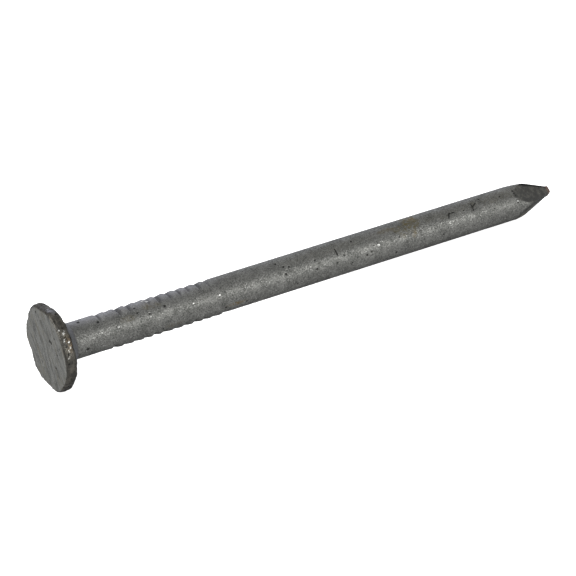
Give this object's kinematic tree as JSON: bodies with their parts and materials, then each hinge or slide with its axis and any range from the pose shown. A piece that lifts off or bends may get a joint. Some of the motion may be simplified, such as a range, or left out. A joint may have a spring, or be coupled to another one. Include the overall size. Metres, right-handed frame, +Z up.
{
  "type": "clout nail",
  "caption": "Galvanised round wire nail with a large flat head, gripping marks under the head and a diamond point.",
  "frame": {"origin": "middle of the striking face of the head", "axes": "+X along the nail from head to point, +Z up with the nail lying on its side"},
  "size_m": [0.0503, 0.0074, 0.0074],
  "materials": {
    "zinc": "matte",
    "steel": "matte"
  },
  "bodies": {
    "root": {"galvanised_coating": "zinc", "steel_nail": "steel"}
  },
  "joints": []
}
